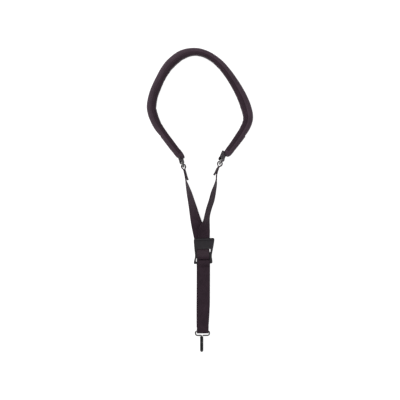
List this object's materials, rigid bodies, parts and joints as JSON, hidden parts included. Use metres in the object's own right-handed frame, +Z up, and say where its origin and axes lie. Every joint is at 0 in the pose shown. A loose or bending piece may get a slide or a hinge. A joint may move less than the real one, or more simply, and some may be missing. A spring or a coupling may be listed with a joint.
{
  "type": "saxophone neck strap",
  "caption": "Padded neck band with two webbing strands that meet at a slider, and an adjustable webbing drop that ends in a wire ring and a sleeved open hook.",
  "frame": {"origin": "bottom centre of the whole strap's box as it lies on a table", "axes": "+Y from the hook towards the nape, +Z up from the table, +X to the right seen from above"},
  "size_m": [0.168, 0.4842, 0.05],
  "materials": {
    "pad_fabric": "brushed knit fabric over foam",
    "pad_lining": "smooth lining fabric on the neck side",
    "foam": "closed-cell foam",
    "webbing": "ribbed nylon webbing",
    "tab_webbing": "ribbed nylon webbing, slightly lighter",
    "thread": "bonded nylon thread",
    "ring_wire": "bright nickel plating",
    "hook_wire": "bright nickel plating",
    "slider_plastic": "moulded acetal, satin",
    "vinyl": "dipped vinyl, soft gloss"
  },
  "bodies": {
    "root": {"pad_outer_cover": "pad_fabric", "pad_foam_outer": "foam", "pad_core_webbing": "webbing", "pad_foam_inner": "foam", "pad_lining": "pad_lining", "pad_end_left": "pad_fabric", "pad_end_right": "pad_fabric", "ring_tab_left": "tab_webbing", "ring_tab_right": "tab_webbing", "tab_stitching_left": "thread", "tab_stitching_right": "thread", "strand_left": "webbing", "strand_right": "webbing", "fold_stitching_left": "thread", "fold_stitching_right": "thread", "junction_stitching": "thread", "drop_strap": "webbing"},
    "left_ring": {"ring_left": "ring_wire"},
    "right_ring": {"ring_right": "ring_wire"},
    "slider": {"slider": "slider_plastic", "slider_webbing": "webbing"},
    "hook_strap": {"hook_strap": "webbing"},
    "hook": {"hook_wire": "hook_wire", "hook_sleeve": "vinyl"}
  },
  "joints": [
    {"name": "slider_slide", "type": "slide", "parent": "root", "child": "slider", "axis": [0, -1, 0], "range_m": [0, 0.188]},
    {"name": "strap_length", "type": "slide", "parent": "root", "child": "hook_strap", "axis": [0, -1, 0], "range_m": [0, 0.094]},
    {"name": "hook_swing", "type": "hinge", "parent": "hook_strap", "child": "hook", "pos_m": [0.0039, -0.2094, 0.00275], "axis": [1, 0, 0], "range_deg": [-90, 90]},
    {"name": "ring_left_swing", "type": "hinge", "parent": "root", "child": "left_ring", "pos_m": [-0.02915, 0.06114, 0.013], "axis": [-0.0489, -0.0188, 0.9986], "range_deg": [-7, 7]},
    {"name": "ring_right_swing", "type": "hinge", "parent": "root", "child": "right_ring", "pos_m": [0.03482, 0.06562, 0.013], "axis": [-0.0482, 0.0204, 0.9986], "range_deg": [-7, 7]}
  ],
  "couplings": [
    {"joint": "strap_length", "follows": "slider_slide", "ratio": 0.5}
  ]
}
